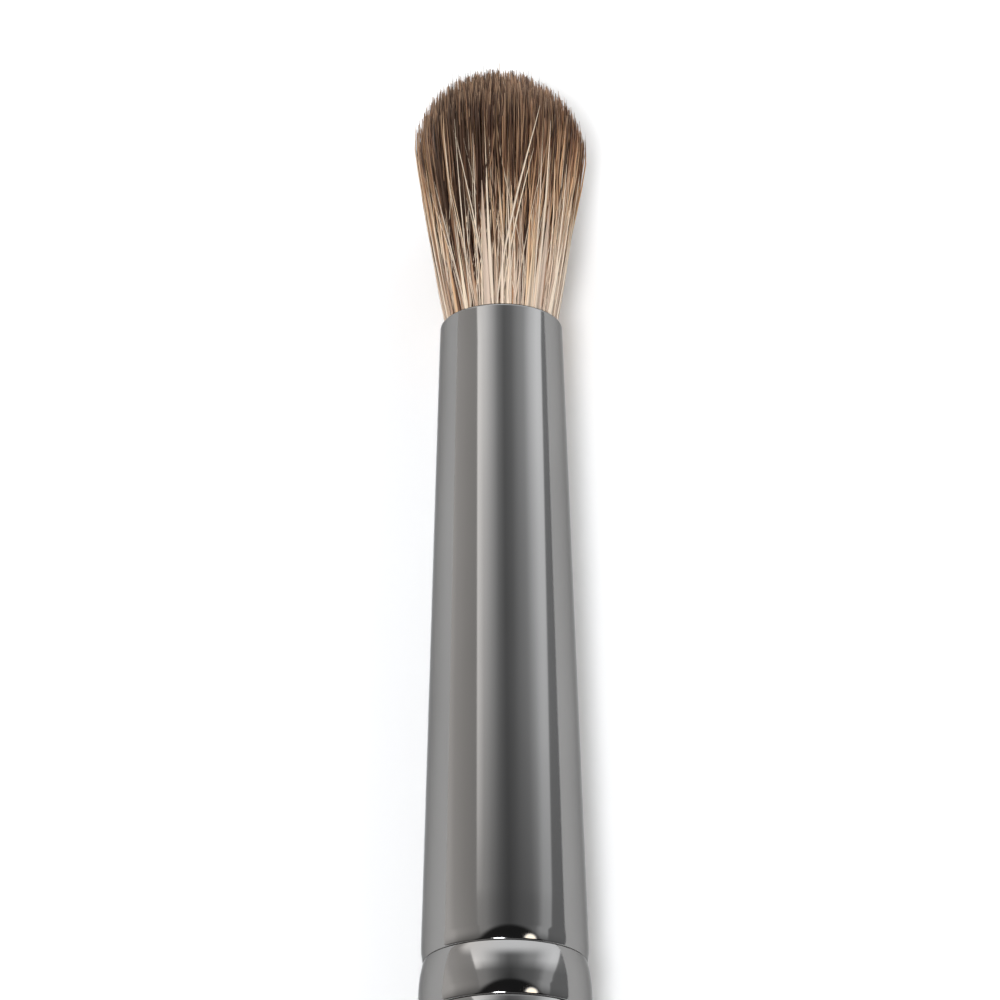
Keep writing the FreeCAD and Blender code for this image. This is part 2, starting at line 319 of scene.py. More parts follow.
# %% Lacquer finish
lacquer, tree, shader = new_finish("black_lacquer")
wood_grain = grain_of(tree, (900, 25, 900), 4.0)
settling = grain_of(tree, (320, 120, 320), 2.0)
colour_coat = add_ramp(tree, wood_grain, [(0.35, shown(16, 15, 16)), (0.75, shown(30, 27, 27))])
gloss = calculate(tree, "MULTIPLY_ADD", settling, 0.12, 0.2)
bump = add_node(tree, "ShaderNodeBump", {"Height": wood_grain, "Strength": 0.07, "Distance": 0.00002})
tree.links.new(colour_coat, shader.inputs["Base Color"])
tree.links.new(gloss, shader.inputs["Roughness"])
tree.links.new(bump.outputs["Normal"], shader.inputs["Normal"])
shader.inputs["Coat Weight"].default_value = 1.0
shader.inputs["Coat Roughness"].default_value = 0.04
print("finish:", lacquer.name)

# %% [markdown]
# ## The handle
#
# The handle has a tenon inside the ferrule, a rounded shoulder, a straight grip and a long hollow
# taper to a round tail. Its outline is spun like the ferrule's, closed on the axis at both ends.
# Where a ring has two radii, as at the shoulder, the outline visits both.

# %% Turn the handle
HANDLE_STEPS = 128
outline = []
for height, inner, outer in rings_of("handle"):
    outline.append((outer, height))
    if outer - inner > 2 * RING_STEP:
        outline.append((inner, height))
outline.append((0.0, outline[-1][1]))
handle_wood = turn("handle_wood", outline, HANDLE_STEPS)
dress(handle_wood, lacquer)
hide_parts("handle")
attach(handle_wood, "brush")
print("handle from", round(outline[0][1] / MM, 1), "to", round(outline[-1][1] / MM, 1), "mm")

# %% [markdown]
# ## Glue and thread
#
# Both glues and the tie thread are inside the ferrule, where their CAD shapes are right as they
# are. They only get a finish: cloudy amber epoxy for the glues, and waxed cotton for the thread.

# %% Finishes of the hidden pieces
epoxy, tree, shader = new_finish("amber_epoxy")
cloud = grain_of(tree, (600, 600, 600))
tree.links.new(
    add_ramp(tree, cloud, [(0.3, shown(150, 112, 58)), (0.7, shown(196, 160, 98))]),
    shader.inputs["Base Color"],
)
shader.inputs["Roughness"].default_value = 0.25
cotton, tree, shader = new_finish("waxed_cotton")
twist = grain_of(tree, (4000, 4000, 4000))
tree.links.new(
    add_ramp(tree, twist, [(0.3, shown(196, 186, 166)), (0.7, shown(232, 226, 212))]),
    shader.inputs["Base Color"],
)
shader.inputs["Roughness"].default_value = 0.8
for node, finish in (("handle_glue", epoxy), ("root_glue", epoxy), ("binding_thread", cotton)):
    dress(frame["nodes"][node], finish)
    print(node, "gets", finish.name)

# %% [markdown]
# ## The shape of the hair head
#
# The hair leaves the mouth as a tight bundle, swells to a belly and ends in a dome. A hair is known
# by its share of the radius and its angle round the axis, both of which it keeps from root to tip,
# so one function of the height gives its distance from the axis. Belly and dome are read from the
# CAD locks. The dome of the real brush leans a little, so its left side is higher.

# %% Swell and dome of the head
hair_rings = rings_of("hair_locks")
BELLY = hair_rings[:, 2].max() - 0.1 * MM
BELLY_HEIGHT = hair_rings[hair_rings[:, 2].argmax(), 0]
DOME = hair_rings[-1, 0] - BELLY_HEIGHT
BORE = mouth_bore - 0.24 * MM
BULGE = 0.08 * MM
DOME_RAISE = 0.45 * MM
DOME_LEAN = -0.05


def swell(height):
    """Radius of the hair head at a height above the mouth."""
    share = np.clip(height / BELLY_HEIGHT, 0, 1)
    return BORE + (BELLY - BORE) * share + 4 * BULGE * share * (1 - share)


def dome_height(right, up):
    """Height of the dome over a place on the disc, whose radius is 1."""
    crown = DOME * np.sqrt(np.clip(1 - right**2 - up**2, 0, 1))
    return BELLY_HEIGHT + crown + DOME_RAISE + DOME_LEAN * BELLY * right


print("belly", round(2 * BELLY / MM, 2), "mm across at", round(BELLY_HEIGHT / MM, 2), "mm")

# %% [markdown]
# ## One hair, many hairs
#
# Blender has hair curves, but these hairs are made as a mesh. So each
# hair is a thin closed tube with few sides that narrows to a point, and thousands of them are laid
# in one go with arrays: first the centre line of every hair, then a ring of points round each place
# on it, then faces between the rings.

# %% Columns of a group of hairs
rng = np.random.default_rng(29)
FOOT = -1.5 * MM


def new_hairs(count):
    """Straight hairs with every column filled, for the groups below to change."""
    none = np.zeros(count)
    return {
        "share": np.sqrt(rng.random(count)),
        "angle": 2 * math.pi * rng.random(count),
        "tip": none + BELLY_HEIGHT,
        "twist": none.copy(),
        "pull": none.copy(),
        "lock_right": none.copy(),
        "lock_up": none.copy(),
        "sway": none.copy(),
        "waves": 0.4 + 0.6 * rng.random(count),
        "phase": rng.random(count),
        "flare": none.copy(),
        "width": none + 0.04 * MM,
        "depth": none + 0.04 * MM,
        "lot": rng.random(count),
        "reach": none + 1.0,
    }


def spread(low, high, count, power=1.0):
    """Random values from low to high, crowded towards low by a power above 1."""
    return low + (high - low) * rng.random(count) ** power


def some_of(hairs, chosen):
    """The chosen hairs of a group."""
    return {column: values[chosen] for column, values in hairs.items()}


print("a group of hairs has", len(new_hairs(1)), "columns")

# %% Centre lines
PULL_START = 0.55 * BELLY_HEIGHT
FLARE_START = 0.55


def ease(start, end, value):
    """0 before start, 1 after end, and a smooth step between them."""
    t = np.clip((value - start) / (end - start), 0, 1)
    return t * t * (3 - 2 * t)


def centre_lines(hairs, segments):
    """Points along the middle of each hair, as right, up and height."""
    column = {name: values[:, None] for name, values in hairs.items()}
    along = np.linspace(0, 1, segments + 1)[None, :]
    height = FOOT + (column["tip"] - FOOT) * along
    angle = column["angle"] + column["twist"] * np.clip(height / BELLY_HEIGHT, 0, None)
    right, up = column["share"] * np.sin(angle), column["share"] * np.cos(angle)
    pull = column["pull"] * ease(PULL_START, BELLY_HEIGHT + DOME, height)
    right = right + (column["lock_right"] - right) * pull
    up = up + (column["lock_up"] - up) * pull
    radius = swell(height) * (1 + column["flare"] * ease(FLARE_START, 1.0, along) ** 2)
    sway = column["sway"] * ease(0, BELLY_HEIGHT, height)
    wave = 2 * math.pi * (column["waves"] * along + column["phase"])
    return radius * right + sway * np.sin(wave), radius * up + sway * np.cos(1.3 * wave), height


print("centre line of one hair:", np.round(np.concatenate(centre_lines(new_hairs(1), 2)) / MM, 1).tolist())

# %% Tubes round the centre lines


def tube_points(hairs, sides, segments, slimming, point):
    """A ring of points round every place on every centre line, laid down on the table."""
    right, up, height = (values[:, :, None] for values in centre_lines(hairs, segments))
    along = np.linspace(0, 1, segments + 1)
    girth = 1 - (1 - point) * np.clip((along - slimming) / (1 - slimming), 0, 1) ** 1.3
    corner = 2 * math.pi * np.arange(sides) / sides
    across = hairs["width"][:, None, None] * girth[None, :, None] * np.cos(corner)
    outward = hairs["depth"][:, None, None] * girth[None, :, None] * np.sin(corner)
    sine, cosine = np.sin(hairs["angle"])[:, None, None], np.cos(hairs["angle"])[:, None, None]
    right = right + across * cosine + outward * sine
    up = up - across * sine + outward * cosine
    upright = np.stack((right, -up, np.broadcast_to(height, right.shape)), -1).reshape(-1, 3)
    return upright @ np.array(lay_down.to_3x3()).T + np.array(mouth)


def tube_faces(count, sides, segments):
    """Quads between the rings of every tube, and a cap at each end."""
    around = np.arange(sides)
    ring = sides * np.arange(segments)[:, None]
    low, low_next = ring + around, ring + (around + 1) % sides
    quads = np.stack((low, low + sides, low_next + sides, low_next), -1).reshape(-1, 4)
    caps = np.stack((around, sides * (segments + 1) - 1 - around))
    first = (sides * (segments + 1) * np.arange(count))[:, None, None]
    return (quads[None] + first).reshape(-1, 4).tolist() + (caps[None] + first).reshape(-1, sides).tolist()


print("a hair of 3 sides and 7 segments has", len(tube_faces(1, 3, 7)), "faces")

# %% [markdown]
# The UV map of a hair holds what its colour needs and nothing else: across is the hair's own lot,
# up is the way from root to tip. Hairs of one lot share their strip of the map, because they also
# share their colour.

# %% Lay a group of hairs
LOT_STRIP = 0.002


def lay_hairs(name, hairs, sides, segments, slimming=0.8, point=0.15):
    """One piece of closed, pointed hairs."""
    count = len(hairs["share"])
    mesh = bpy.data.meshes.new(name)
    points = tube_points(hairs, sides, segments, slimming, point)
    mesh.from_pydata(points.tolist(), [], tube_faces(count, sides, segments))
    shape = (count, segments + 1, sides)
    lot = hairs["lot"][:, None, None] + LOT_STRIP * np.arange(sides) / sides
    rise = hairs["reach"][:, None, None] * np.linspace(0, 1, segments + 1)[None, :, None]
    paint = np.stack((np.broadcast_to(lot, shape), np.broadcast_to(rise, shape)), -1).reshape(-1, 2)
    corners = np.empty(len(mesh.loops), int)
    mesh.loops.foreach_get("vertex_index", corners)
    mesh.uv_layers.new(name="OFBake").data.foreach_set("uv", paint[corners].ravel())
    mesh.shade_smooth()
    piece = bpy.data.objects.new(name, mesh)
    bpy.context.scene.collection.objects.link(piece)
    mesh.calc_loop_triangles()
    print(name, "has", count, "hairs and", len(mesh.loop_triangles), "triangles")
    return piece


# %% [markdown]
# ## Colour of the hair
#
# Each hair is pale at the root, darkens to a brown band in its upper half and has a lighter point.
# How far up the pale root reaches differs from hair to hair. The lot picks the family, which is
# brown, golden, cream or rose grey, and within a family a higher lot means a longer pale root. A
# fast noise along the lot changes the tone, so that neighbouring lots look like different hairs.

# %% Families of hair
BROWN = (0.0, 0.5)
GOLDEN = (0.5, 0.72)
CREAM = (0.72, 0.86)
ROSE = (0.86, 1.0)
ROOT_SPREAD = 0.75


def lot_of(family, place):
    """The lot at a place from 0 to 1 within a family."""
    start, end = family
    return start + (end - start - LOT_STRIP) * np.clip(place, 0, 1)


hair_coat, tree, shader = new_finish("hair_coat")
paint_map = add_node(tree, "ShaderNodeUVMap", uv_map="OFBake").outputs["UV"]
paint_parts = add_node(tree, "ShaderNodeSeparateXYZ", {"Vector": paint_map})
lot, rise = paint_parts.outputs["X"], paint_parts.outputs["Y"]


def family_colour(family, stops):
    """Colour along a hair of one family, with its bands moved up by its place in the family."""
    start, end = family
    move = ROOT_SPREAD / (end - start)
    shifted = calculate(tree, "MULTIPLY_ADD", lot, -move, move * (start + end) / 2)
    return add_ramp(tree, calculate(tree, "ADD", shifted, rise), stops)


print("brown lots run from", lot_of(BROWN, 0), "to", lot_of(BROWN, 1))

# %% Colours of the families
brown = family_colour(BROWN, [
    (0.00, shown(207, 183, 161)),
    (0.24, shown(201, 171, 146)),
    (0.34, shown(180, 146, 120)),
    (0.45, shown(132, 97, 74)),
    (0.55, shown(92, 64, 48)),
    (0.70, shown(78, 53, 41)),
    (0.90, shown(70, 50, 39)),
    (1.00, shown(88, 65, 50)),
])
golden = family_colour(GOLDEN, [
    (0.00, shown(236, 216, 196)),
    (0.22, shown(232, 203, 170)),
    (0.40, shown(216, 174, 134)),
    (0.58, shown(176, 131, 99)),
    (0.80, shown(130, 95, 72)),
    (1.00, shown(156, 124, 97)),
])
cream = family_colour(CREAM, [
    (0.00, shown(230, 213, 194)),
    (0.45, shown(236, 217, 192)),
    (0.64, shown(204, 168, 134)),
    (0.82, shown(146, 110, 84)),
    (1.00, shown(124, 96, 76)),
])
rose = family_colour(ROSE, [
    (0.00, shown(208, 187, 170)),
    (0.24, shown(196, 171, 150)),
    (0.42, shown(174, 140, 114)),
    (0.60, shown(124, 92, 72)),
    (1.00, shown(84, 61, 48)),
])
coat = brown
for family, colour in ((GOLDEN, golden), (CREAM, cream), (ROSE, rose)):
    beyond = calculate(tree, "GREATER_THAN", lot, family[0])
    coat = mix_colours(tree, beyond, coat, colour)
print("families: brown, golden, cream, rose grey")

# %% [markdown]
# Some lots end in a tan point. The tone of a lot swings about its family's colour, and brown lots
# with a long pale root are lighter as a whole. Brown lots with a short pale root are therefore
# darker, which deepens the painted shade of the dark patches. A limit keeps the palest lots below
# white.

# %% Tone and tips of the coat
TONE_STRIPES = 420
TIP_STRIPES = 310
TONE_SWING = 2.2
TONE_SLOPE = 0.85
TONE_START = -0.42
TONE_LIMIT = 1.15
TAN_POINT = shown(216, 180, 148)


def lot_noise(stripes):
    """A different value for each narrow stripe of lots."""
    stripe = calculate(tree, "MULTIPLY", lot, stripes)
    noise = add_node(tree, "ShaderNodeTexNoise", {"W": stripe, "Detail": 0.0}, noise_dimensions="1D")
    return noise.outputs["Fac"]


has_tip = gate(tree, lot_noise(TIP_STRIPES), 0.56, 0.62)
tip_share = calculate(tree, "MULTIPLY", has_tip, gate(tree, rise, 0.94, 1.0))
coat = mix_colours(tree, tip_share, coat, TAN_POINT)
# Painted shade: brown hairs with a short pale root are darkened as a whole.
brown_lot = calculate(tree, "MINIMUM", lot, BROWN[1])
tone = calculate(tree, "MULTIPLY_ADD", brown_lot, TONE_SLOPE, TONE_START)
tone = calculate(tree, "MULTIPLY_ADD", lot_noise(TONE_STRIPES), TONE_SWING, tone)
tone = calculate(tree, "MINIMUM", tone, TONE_LIMIT)
toned = add_node(tree, "ShaderNodeVectorMath", {0: coat, "Scale": tone}, operation="SCALE").outputs["Vector"]
tree.links.new(toned, shader.inputs["Base Color"])
shader.inputs["Roughness"].default_value = 0.45
shader.inputs["Specular IOR Level"].default_value = 0.25
print("finish:", hair_coat.name)

# %% [markdown]
# ## The body of the head
#
# Most hairs fill the head evenly. Near the tips they cling together in small pointed locks, which
# makes the edge of the dome spiky. Each hair belongs to the nearest of many lock centres and is
# drawn towards it over its upper part, and each lock has its own height. Round the head, patches of
# hairs stay dark down to the mouth, and others are pale or golden far up. This is partly the hair's
# own mix, partly painted light at the sides and painted shade between locks.

# %% Places of the body hairs
BODY_HAIRS = 5600
TIP_LOCKS = 1000
LOCK_PULL = (0.3, 0.75)
BODY_SWAY = (0.04 * MM, 0.24 * MM)
CALM_TWIST = 0.11
WILD_TWIST = 0.32
WILD_SHARE = 0.3
BODY_HALF_WIDTH = (0.03 * MM, 0.05 * MM)
BROADER_BY = 0.05 * MM
BROAD_SHARE = 0.12
BODY_HALF_DEPTH = 0.045 * MM
body = new_hairs(BODY_HAIRS)
body_right, body_up = body["share"] * np.sin(body["angle"]), body["share"] * np.cos(body["angle"])
lock_share = np.sqrt((np.arange(TIP_LOCKS) + 0.5) / TIP_LOCKS)
lock_angle = math.pi * (3 - math.sqrt(5)) * np.arange(TIP_LOCKS)
lock_right, lock_up = lock_share * np.sin(lock_angle), lock_share * np.cos(lock_angle)
nearest = np.hypot(body_right[:, None] - lock_right, body_up[:, None] - lock_up).argmin(1)
body["lock_right"], body["lock_up"] = lock_right[nearest], lock_up[nearest]
body["pull"] = spread(*LOCK_PULL, BODY_HAIRS)
body["sway"] = spread(*BODY_SWAY, BODY_HAIRS, 2)
leaning = rng.normal(0, 1, BODY_HAIRS)
body["twist"] = leaning * np.where(rng.random(BODY_HAIRS) < WILD_SHARE, WILD_TWIST, CALM_TWIST)
body["width"] = spread(*BODY_HALF_WIDTH, BODY_HAIRS)
body["width"] = body["width"] + BROADER_BY * (rng.random(BODY_HAIRS) < BROAD_SHARE)
body["depth"] = np.minimum(body["width"], BODY_HALF_DEPTH)
print(BODY_HAIRS, "body hairs in", TIP_LOCKS, "tip locks")

# %% Heights of the body hairs
LOCK_DROP = 0.28 * MM
HAIR_DROP = 0.22 * MM
SHORT_HAIRS = 0.15
SHORT_DROP = 2.5 * MM
lock_drop = np.abs(rng.normal(0, LOCK_DROP, TIP_LOCKS))
hair_drop = np.abs(rng.normal(0, HAIR_DROP, BODY_HAIRS))
short_drop = (rng.random(BODY_HAIRS) < SHORT_HAIRS) * rng.random(BODY_HAIRS) * SHORT_DROP
body["tip"] = dome_height(body["lock_right"], body["lock_up"]) - lock_drop[nearest] - hair_drop - short_drop
print("highest hair", round(body["tip"].max() / MM, 2), "mm above the mouth")

# %% [markdown]
# Where a patch is pale, golden or cream is read from tables by the angle round the axis, in degrees,
# with 0 at the top and 90 at the right. The tables hold the hair's own mix and also painted light and
# shade. The sides, near 90 degrees either way, are paler and more cream and golden as painted light,
# and the low patches left of the top are painted shade between locks. A share of the hairs stays
# dark down to the mouth, so that there are dark gaps between the pale ones. These are dark hairs of
# the mix and also painted shade in the gaps.

# %% Colours of the body hairs
# Painted light and shade: these tables lift pale roots, cream and golden at the sides, and lower the pale roots in
# patches left of the top.
PAINTED_LIGHT_AND_PALE_ROOTS = [
    (-180, 0.5), (-140, 0.4), (-110, 0.8), (-88, 1.1), (-72, 0.7), (-55, 0.28), (-35, 0.22), (-20, 0.45),
    (-8, 0.6), (2, 0.5), (12, 0.75), (22, 0.8), (36, 0.8), (52, 0.95), (70, 1.0), (90, 1.1),
    (130, 0.4), (180, 0.5),
]
GOLDEN_SHARES_AND_PAINTED_SIDE_LIGHT = [
    (-180, 0.2), (-120, 0.3), (-90, 0.45), (-65, 0.35), (-45, 0.15), (-15, 0.25), (5, 0.25), (18, 0.4),
    (32, 0.22), (55, 0.25), (75, 0.35), (95, 0.4), (125, 0.2), (180, 0.2),
]
CREAM_SHARES_AND_PAINTED_SIDE_LIGHT = [
    (-180, 0.08), (-105, 0.5), (-80, 0.45), (-50, 0.1), (-10, 0.1), (10, 0.16), (35, 0.28), (60, 0.38),
    (85, 0.55), (105, 0.55), (130, 0.08), (180, 0.08),
]
# Dark hairs of the mix, which also paint shade into the gaps between the pale ones.
DARK_HAIR_AND_GAP_SHADE_SHARE = 0.27
PLACE_SPREAD = 0.3
OUTER_SHARE = 0.72
degrees = np.degrees((body["angle"] + math.pi) % (2 * math.pi) - math.pi)
place = np.interp(degrees, *np.array(PAINTED_LIGHT_AND_PALE_ROOTS).T) + rng.normal(0, PLACE_SPREAD, BODY_HAIRS)
place[rng.random(BODY_HAIRS) < DARK_HAIR_AND_GAP_SHADE_SHARE] = 0
golden_share_and_side_light = np.interp(degrees, *np.array(GOLDEN_SHARES_AND_PAINTED_SIDE_LIGHT).T)
cream_share_and_side_light = np.interp(degrees, *np.array(CREAM_SHARES_AND_PAINTED_SIDE_LIGHT).T)
family = rng.random(BODY_HAIRS)
body["lot"] = np.where(
    family < cream_share_and_side_light,
    lot_of(CREAM, rng.random(BODY_HAIRS)),
    np.where(family < cream_share_and_side_light + golden_share_and_side_light, lot_of(GOLDEN, place), lot_of(BROWN, place)),
)
outer = body["share"] > OUTER_SHARE
hair_pieces = [
    lay_hairs("hair_inside", some_of(body, ~outer), 3, 9, slimming=0.88, point=0.25),
    lay_hairs("hair_outside", some_of(body, outer), 3, 9, slimming=0.88, point=0.25),
]

# %% [markdown]
# ## Root locks
#
# Near the mouth the hairs lie so close that they merge into smooth flat locks, cream, rose grey and
# golden, with dark gaps between them. They are wide, thin blades on the outside of the bundle that
# narrow to a point between the single hairs. Those to the left of the top are darker.

# %% Root locks
ROOT_LOCKS = 62
ROOT_TIPS = (3.2 * MM, 7.7 * MM)
ROOT_HALF_WIDTH = (0.06 * MM, 0.26 * MM)
ROOT_HALF_DEPTH = 0.025 * MM
ROOT_TWIST = 0.06
ROOT_SWAY = 0.1 * MM
CREAM_LOCKS = 0.3
CREAM_AND_ROSE_LOCKS = 0.78
FULL_LENGTH = BELLY_HEIGHT + DOME - FOOT
roots = new_hairs(ROOT_LOCKS)
roots["share"] = spread(1.0, 1.04, ROOT_LOCKS)
roots["angle"] = 2 * math.pi * (np.arange(ROOT_LOCKS) + 0.9 * rng.random(ROOT_LOCKS)) / ROOT_LOCKS
roots["tip"] = spread(*ROOT_TIPS, ROOT_LOCKS, 1.3)
roots["reach"] = (roots["tip"] - FOOT) / FULL_LENGTH
roots["twist"] = rng.normal(0, ROOT_TWIST, ROOT_LOCKS)
roots["sway"] = spread(0, ROOT_SWAY, ROOT_LOCKS)
roots["width"] = spread(*ROOT_HALF_WIDTH, ROOT_LOCKS, 1.5)
roots["depth"] = np.full(ROOT_LOCKS, ROOT_HALF_DEPTH)
family = rng.random(ROOT_LOCKS)
from_top = np.degrees(roots["angle"]) - 360
is_left = ease(-80, -60, from_top) * ease(-10, -25, from_top)
place = spread(0.4, 1.0, ROOT_LOCKS) * (1 - 0.75 * is_left)
roots["lot"] = np.where(
    family < CREAM_LOCKS - 0.2 * is_left,
    lot_of(CREAM, place),
    np.where(family < CREAM_AND_ROSE_LOCKS, lot_of(ROSE, place), lot_of(GOLDEN, place)),
)
hair_pieces.append(lay_hairs("hair_root_locks", roots, 6, 8, slimming=0.2, point=0.08))

# %% [markdown]
# ## Guard hairs
#
# A few long pale hairs are thicker than the rest and lie over the head, some of them across it. The
# ones that stand out at the front are listed as root angle and tip angle in degrees, tip height and
# half width in mm, and the others are strewn all round.

# %% Guard hairs
FRONT_GUARDS = np.array([
    (-5, 27, 11.2, 0.062),
    (-40, -56, 7.6, 0.05),
    (-9, -27, 6.0, 0.045),
    (-33, -31, 10.5, 0.035),
    (-22, -19, 9.5, 0.035),
    (38, 36, 10.5, 0.055),
    (34, 30, 9.0, 0.04),
    (61, 54, 8.5, 0.055),
    (70, 66, 7.0, 0.05),
    (10, 5, 7.0, 0.045),
    (-72, -76, 6.5, 0.05),
    (-12, -31, 9.5, 0.04),
])
LOOSE_GUARDS = 190
LOOSE_TIPS = (3, 11.5)
LOOSE_HALF_WIDTH = (0.016, 0.056)
LOOSE_TURN = 0.25
LOOSE_SWAY = 0.1 * MM
FRONT_SWAY = 0.03 * MM
root_angle, tip_angle, tip, half_width = FRONT_GUARDS.T
guards = new_hairs(len(FRONT_GUARDS) + LOOSE_GUARDS)
guards["angle"] = np.concatenate((np.radians(root_angle), 2 * math.pi * rng.random(LOOSE_GUARDS)))
guards["tip"] = np.concatenate((tip, spread(*LOOSE_TIPS, LOOSE_GUARDS, 1.3))) * MM
loose_turn = rng.normal(0, LOOSE_TURN, LOOSE_GUARDS)
turned_by = np.concatenate((np.radians(tip_angle - root_angle), loose_turn))
guards["twist"] = turned_by * BELLY_HEIGHT / guards["tip"]
guards["width"] = np.concatenate((half_width, spread(*LOOSE_HALF_WIDTH, LOOSE_GUARDS, 2))) * MM
guards["depth"] = guards["width"].copy()
count = len(FRONT_GUARDS) + LOOSE_GUARDS
is_front = np.arange(count) < len(FRONT_GUARDS)
guards["share"] = np.where(is_front, 1.03, spread(0.985, 1.015, count))
guards["sway"] = np.where(is_front, FRONT_SWAY, spread(0, LOOSE_SWAY, count))
guards["reach"] = (guards["tip"] - FOOT) / FULL_LENGTH
place = np.where(is_front, spread(1.0, 0.9, count), spread(0.5, 1.0, count))
is_golden = ~is_front & (rng.random(count) > 0.6)
guards["lot"] = np.where(is_golden, lot_of(GOLDEN, place), lot_of(CREAM, place))
hair_pieces.append(lay_hairs("hair_guards", guards, 4, 12, slimming=0.6))

# %% [markdown]
# ## Stray hairs
#
# No brush is perfectly trimmed. A few hairs stand out from the side of the head or stick up over
# the dome.

# %% Stray hairs
STRAYS = 90
STRAY_RISE = 0.35 * MM
STRAY_HALF_WIDTH = (0.025 * MM, 0.04 * MM)
STRAY_FLARE = 0.05
STRAY_SWAY = 0.15 * MM
strays = new_hairs(STRAYS)
strays["share"] = spread(0.55, 1.0, STRAYS)
stray_right, stray_up = strays["share"] * np.sin(strays["angle"]), strays["share"] * np.cos(strays["angle"])
strays["tip"] = dome_height(stray_right, stray_up) + spread(0, STRAY_RISE, STRAYS)
strays["flare"] = spread(0, STRAY_FLARE, STRAYS)
strays["sway"] = spread(0, STRAY_SWAY, STRAYS)
strays["width"] = strays["depth"] = spread(*STRAY_HALF_WIDTH, STRAYS)
is_golden = rng.random(STRAYS) < 0.5
stray_golden = lot_of(GOLDEN, rng.random(STRAYS))
stray_brown = lot_of(BROWN, rng.random(STRAYS))
strays["lot"] = np.where(is_golden, stray_golden, stray_brown)
hair_pieces.append(lay_hairs("hair_strays", strays, 3, 10))

# %% [markdown]
# ## The hair pieces
#
# The CAD joint swings the head about the middle of the mouth, while real hairs bend. Here each piece
# of hair gets the hair coat, the CAD hair nodes are hidden, and each piece's placement is baked into
# its mesh.

# %% Finish the hair pieces
for piece in hair_pieces:
    dress(piece, hair_coat)
    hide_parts("hair_locks", "hair_roots")
    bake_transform(piece)
print(len(hair_pieces), "pieces of hair")

# %% [markdown]
# ## A studio made of light
#
# A dark mirror needs something to mirror. In the studio a wide panel hangs to the left above the
# brush and a narrow one to the right, both brighter towards the tip, with dark room between them,
# and the ferrule shows both as stripes. Lamps near the object would show in other views, so the
# studio is a world shader: brightness by the angle round the brush, blended along the brush. Its
# ramps cover a lap of STUDIO_LAP degrees with the top in the middle, and hold levels up to the peak.

# %% Directions in the studio
STUDIO_PEAK = 4.0
STUDIO_LAP = 300
studio = bpy.data.worlds.new("studio")
bpy.context.scene.world = studio
studio.use_nodes = True
tree = studio.node_tree
sky = add_node(tree, "ShaderNodeTexCoord").outputs["Generated"]
sky_parts = add_node(tree, "ShaderNodeSeparateXYZ", {"Vector": sky})
sideways, tipwards, overhead = (sky_parts.outputs[axis] for axis in "XYZ")


def between(share, first, second):
    """first where share is 0 and second where it is 1."""
    return add_node(tree, "ShaderNodeMix", {0: share, 2: first, 3: second}, data_type="FLOAT").outputs[0]


print("studio:", studio.name)

# %% [markdown]
# The panels hang at an angle to the brush, so their edges open out towards the tip. Scaling the
# angle by how far the direction leans to the tip straightens them, and then one ramp gives the
# brightness round the brush at the crimps and a second one at the mouth.

# %% Panels
around = calculate(tree, "ARCTAN2", sideways, overhead)
lean = add_node(tree, "ShaderNodeClamp", {"Value": tipwards, "Min": 0.2, "Max": 0.6}).outputs[0]
opening = calculate(tree, "MULTIPLY_ADD", lean, -1.1, 1.44)
lap = calculate(tree, "MULTIPLY", around, opening)
lap = calculate(tree, "MULTIPLY_ADD", lap, 180 / math.pi / STUDIO_LAP, 0.5)


def panels(stops):
    """Brightness round the brush, from (degrees, level) stops."""
    return add_ramp(tree, lap, [
        (degrees / STUDIO_LAP + 0.5, (level / STUDIO_PEAK,) * 3 + (1,)) for degrees, level in stops
    ])


at_crimps = panels([
    (-150, 1.6), (-105, 1.8), (-90, 1.75), (-80, 1.35), (-60, 1.08), (-42.2, 0.9), (-41.4, 1.1), (-28, 0.93),
    (-18, 0.62), (-9, 0.42), (0, 0.3), (7, 0.25), (15, 0.32), (24, 0.4), (41, 0.5), (50, 0.68),
    (59, 1.35), (72.5, 1.5), (74, 0.6), (115, 0.63), (150, 1.0),
])
at_mouth = panels([
    (-150, 1.7), (-105, 1.9), (-90, 1.8), (-80, 1.45), (-60, 1.2), (-42.2, 1.1), (-41.4, 3.4), (-28, 2.95),
    (-17, 2.0), (-6, 0.93), (4, 0.5), (16, 0.65), (27, 1.1), (38, 1.4), (50, 2.5), (63, 3.2),
    (72.5, 3.15), (74, 0.85), (110, 0.78), (150, 1.0),
])
left_strip = panels([(-41.4, 0), (-41.0, 1.0), (-36, 0.65), (-30, 0)])
span = {"Value": tipwards, "From Min": 0.33, "From Max": 0.46}
mouthwards = add_node(tree, "ShaderNodeMapRange", span).outputs[0]
light = between(mouthwards, at_crimps, at_mouth)
strip_reach = calculate(tree, "MULTIPLY", gate(tree, tipwards, 0.335, 0.36), gate(tree, tipwards, 0.55, 0.36))
light = calculate(tree, "MULTIPLY_ADD", left_strip, strip_reach, light)
print("panels with", len(tree.nodes), "nodes")

# %% [markdown]
# Beyond the tip stands a white backdrop between two ends. Round the camera the room is dark, which
# is why the upper side of each crimp is nearly black in the middle, with a small warm lamp in it. A
# key lamp hangs over the camera. The straight tube does not mirror it into the picture, and a crimp
# shows it as a small white spot. It lights the hair and the floor, and throws the brush's shadow to
# the right. The edges of the lamps and of the dark side are soft, from a first angle to a second.

